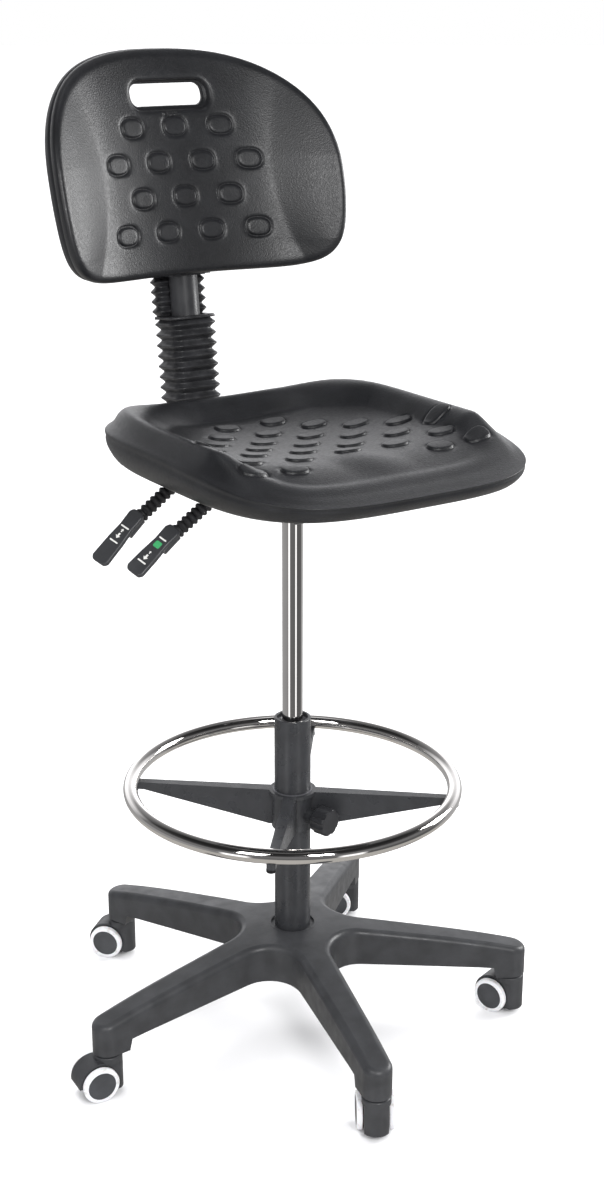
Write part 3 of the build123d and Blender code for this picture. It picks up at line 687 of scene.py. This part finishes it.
def fold_line(w, d, corner, at_y, shrink):
    """One ring of a bellows of width w and depth d, drawn in by shrink."""
    line = slot_line(w / 2 - shrink, d / 2 - shrink, max(corner - shrink * 0.45, 1.5), FOLD_RING)
    return line + np.array([0, at_y])


def accordion(w, d, depth, wall, at_y, teeth, pitch, corner):
    """Rings of a folded rubber tube: pointed lips, rounded roots, then back down inside."""
    lips = [(0.00, 1.0), (0.07, 0.94), (0.25, 0.52), (0.42, 0.07), (0.47, 0.0), (0.53, 0.0), (0.58, 0.07),
            (0.75, 0.52), (0.93, 0.94)]
    outside = [((k + at) * pitch, share * depth) for k in range(teeth) for at, share in lips]
    outside.append((teeth * pitch, depth))
    rings = [[(x, y, z) for x, y in fold_line(w, d, corner, at_y, s)] for z, s in outside]
    rings += [[(x, y, z) for x, y in fold_line(w, d, corner, at_y, s + wall)] for z, s in reversed(outside)]
    rings.append(rings[0])
    return rings


low_z0, low_z1, low_teeth = 836.0, 970.0, 9
low_pitch = (low_z1 - low_z0 - 4) / low_teeth / cos(LEAN)
low_top = low_teeth * low_pitch
verts, faces = strip(accordion(72, 64, 6, 1.5, 1, low_teeth, low_pitch, 14))
bar_hole = slot_line(BAR_HOLE_X, BAR_HOLE_Y, 0.6, 60) + np.array([0, BAR_N])
angles = np.linspace(pi, 2 * pi, 60)
half_round = [(SLEEVE_R * cos(a), SLEEVE_R * sin(a)) for a in angles]
sleeve_hole = even(half_round + [(SLEEVE_R, 0.45), (-SLEEVE_R, 0.45)], 90)
lid = [fold_line(72, 64, 14, 1, s) for s in (0.0, 0.3, 1.1, 2.2)]
flat, lift, faces_l = skin([(lid[1], -0.8), (lid[2], -0.25), (lid[3], 0.0)], [], 6.0,
                           [[(bar_hole, 0.0)], [(sleeve_hole, 0.0)]])
cap_top = (np.column_stack([flat, low_top + 4.0 + lift]), faces_l)
flat, lift, faces_l = skin([(lid[0], 0.0)], [], 9.0, [[(bar_hole, 0.0)], [(sleeve_hole, 0.0)]])
cap_under = (np.column_stack([flat, np.full(len(flat), low_top + 0.02)]), faces_l)
parts = [(verts, faces), cap_top, cap_under,
         strip([np.column_stack([lid[1], np.full(FOLD_RING, low_top + 3.2)]),
                np.column_stack([lid[0], np.full(FOLD_RING, low_top + 2.4)]),
                np.column_stack([lid[0], np.full(FOLD_RING, low_top + 0.02)])])]
for hole_loop in (bar_hole, sleeve_hole):
    parts.append(strip([np.column_stack([hole_loop, np.full(len(hole_loop), low_top + z)]) for z in (4.0, 0.02)]))
verts, faces = join(parts)
lower = piece("lower_boot", placed(back_frame(low_z0), verts), faces, "rubber_bellows", "back_column")
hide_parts("lower_bellows")


# The upper boot reaches from the lower boot's lid up into the carrier; it is placed once and rides on no body.
up_z0, up_z1, up_teeth = low_z1 + 0.3, 1023.7, 4
up_len = (up_z1 - up_z0) / cos(LEAN)
verts, faces = strip(accordion(80, 26, 5, 1.5, BAR_N, up_teeth, up_len / up_teeth, 9))
upper = piece("upper_boot", placed(back_frame(up_z0), verts), faces, "rubber_bellows", None)
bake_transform(upper)
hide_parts("upper_bellows")


# ---- marks on the lever paddles ----
LEVER_Z, BEND_X, PADDLE_X = 801.0, -133.0, -193.0


def paddle_frame(y, rod_slope, paddle_slope):
    """Place at the paddle's socket: local X out along the blade, local -Z out of its broad face."""
    at = Matrix.Translation((PADDLE_X, y, LEVER_Z - tan(radians(rod_slope)) * (BEND_X - PADDLE_X)))
    return at @ Matrix.Rotation(radians(180 - paddle_slope), 4, "Y") @ Matrix.Rotation(radians(-25), 4, "X")


def mark(name, body, at, look, shapes):
    """Thin printed shapes on the broad face; each is a closed line of (along, across) in millimetres."""
    verts, faces = [], []
    for shape in shapes:
        n, first = len(shape), len(verts)
        for level in (-11.40, -11.58, -11.60):
            grow = 0.985 if level < -11.59 else 1.0
            mid = np.mean(shape, axis=0)
            verts += placed(at, [(*(mid + (np.array(p) - mid) * grow), level) for p in shape])
        for ring in (0, 1):
            faces += [(first + ring * n + k, first + ring * n + (k + 1) % n,
                       first + (ring + 1) * n + (k + 1) % n, first + (ring + 1) * n + k) for k in range(n)]
        faces.append(tuple(range(first + 2 * n, first + 3 * n)))
        faces.append(tuple(range(first + n - 1, first - 1, -1)))
    return piece(name, verts, faces, "lever_plastic", body, 0.000001, look)


def bar_shape(x0, x1, y0, y1, r=1.2):
    """Rounded bar between two places along and two across."""
    line = slot_line((x1 - x0) / 2, (y1 - y0) / 2, r, 40)
    return line + np.array([(x0 + x1) / 2, (y0 + y1) / 2])


def arrow(x, y, size, way):
    """Plain arrow from (x, y), pointing out along the blade or back."""
    pts = [(0, -0.18), (0.5, -0.18), (0.5, -0.5), (1, 0), (0.5, 0.5), (0.5, 0.18), (0, 0.18)]
    return [(x + way * size * a, y + size * b) for a, b in pts]


front_at, rear_at = paddle_frame(-30, 33.7, 38), paddle_frame(63, 35, 43)
mark("height_mark_panel", "height_lever", front_at, "mark_green", [bar_shape(23, 32, -5, 5, 2)])
mark("height_mark_lines", "height_lever", front_at, "mark_white",
     [arrow(45, 0, 8, 1), arrow(43, 0, 4, -1), bar_shape(55.5, 57.5, -7, 7, 0.8), bar_shape(17, 19, -6, 6, 0.8)])
mark("back_mark_lines", "back_lever", rear_at, "mark_white",
     [arrow(33, 0, 8, 1), arrow(31, 0, 5, -1), bar_shape(45, 47, -7, 7, 0.8), bar_shape(22, 24, -7, 7, 0.8)])


# ---- floor ----
bpy.ops.mesh.primitive_circle_add(vertices=128, radius=40, fill_type="NGON", location=(0, 0, 0))
floor = bpy.context.active_object
floor.name = "floor"
ground = Shader("floor", (0.93, 0.93, 0.94), 0.55, Specular_IOR_Level=0.25)
ground.vary_color(ground.noise(3, 3), (0.92, 0.92, 0.93), (0.95, 0.95, 0.96))
floor.data.materials.append(ground.mat)
floor.visible_glossy = False
